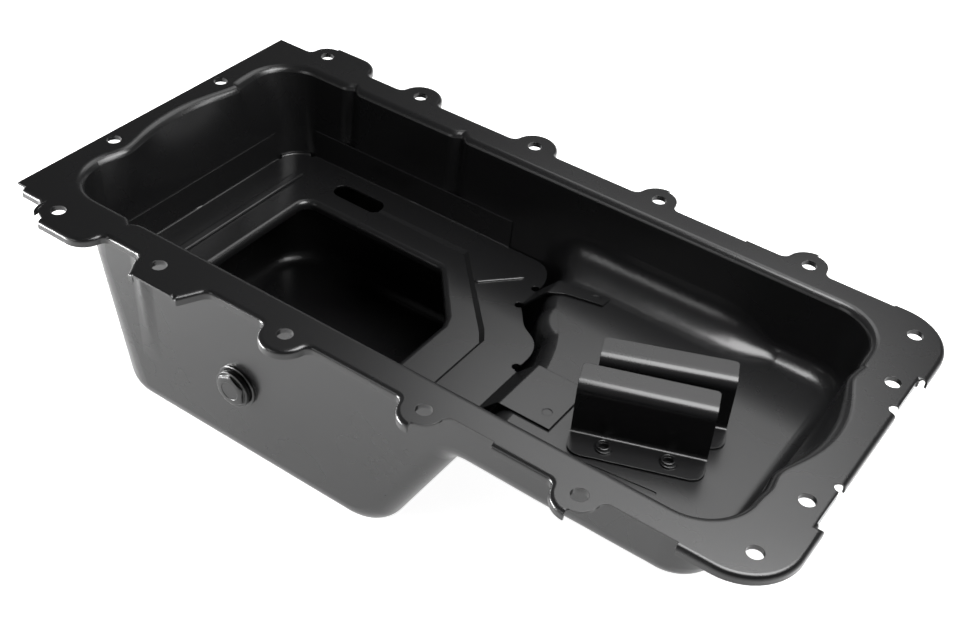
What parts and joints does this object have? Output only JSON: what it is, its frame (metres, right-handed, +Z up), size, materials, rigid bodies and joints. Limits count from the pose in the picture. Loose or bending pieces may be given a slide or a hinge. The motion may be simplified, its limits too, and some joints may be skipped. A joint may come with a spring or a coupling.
{
  "type": "engine oil pan",
  "caption": "Pressed steel engine oil pan with a deep sump end, a shallow end, a flange with bolt ears, a windage tray, deflector plates and a drain plug",
  "frame": {"origin": "centre of the four middle side bolt holes, in the gasket face", "axes": "+X along the pan to the shallow end, +Y across it to the side away from the drain plug, +Z up to the engine"},
  "size_m": [0.5427, 0.2961, 0.1647],
  "materials": {
    "black_paint": "satin black dip paint on pressed steel",
    "seal_metal": "dull crush washer",
    "plug_metal": "black coated steel"
  },
  "bodies": {
    "pan": {"pan_shell": "black_paint", "windage_tray": "black_paint", "deflector_front": "black_paint", "deflector_rear": "black_paint", "drain_bung": "black_paint"},
    "seal": {"drain_plug_seal": "seal_metal"},
    "plug": {"drain_plug": "plug_metal"}
  },
  "joints": [
    {"name": "plug_travel", "type": "slide", "parent": "pan", "child": "seal", "axis": [0, -1, 0], "range_m": [0, 0.018]},
    {"name": "plug_turn", "type": "hinge", "parent": "seal", "child": "plug", "pos_m": [-0.1152, -0.108, -0.0962], "axis": [0, -1, 0], "range_deg": [0, 4320]}
  ],
  "couplings": [
    {"joint": "plug_travel", "follows": "plug_turn", "m_per_rad": 0.00023873}
  ]
}
